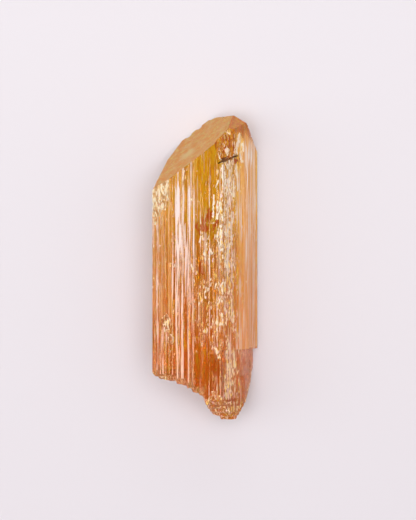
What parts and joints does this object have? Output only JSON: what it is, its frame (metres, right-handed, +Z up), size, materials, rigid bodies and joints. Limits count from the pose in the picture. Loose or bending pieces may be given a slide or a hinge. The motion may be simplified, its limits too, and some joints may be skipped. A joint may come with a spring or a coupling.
{
  "type": "topaz crystal",
  "caption": "Imperial topaz crystal, a striated orange prism with a slanting frosted point and a rough broken end, lying on its side.",
  "frame": {"origin": "on the prism face that the crystal rests on, under the middle of its bounding box", "axes": "+Y along the crystal's c axis from the broken end to the grown point, +Z up out of the resting face to the large face on top, +X to the right as the picture shows it"},
  "size_m": [0.0126, 0.0367, 0.0093],
  "materials": {
    "topaz": "glassy striated prism faces, frosted point and broken end"
  },
  "bodies": {
    "root": {"crystal": "topaz"}
  },
  "joints": []
}
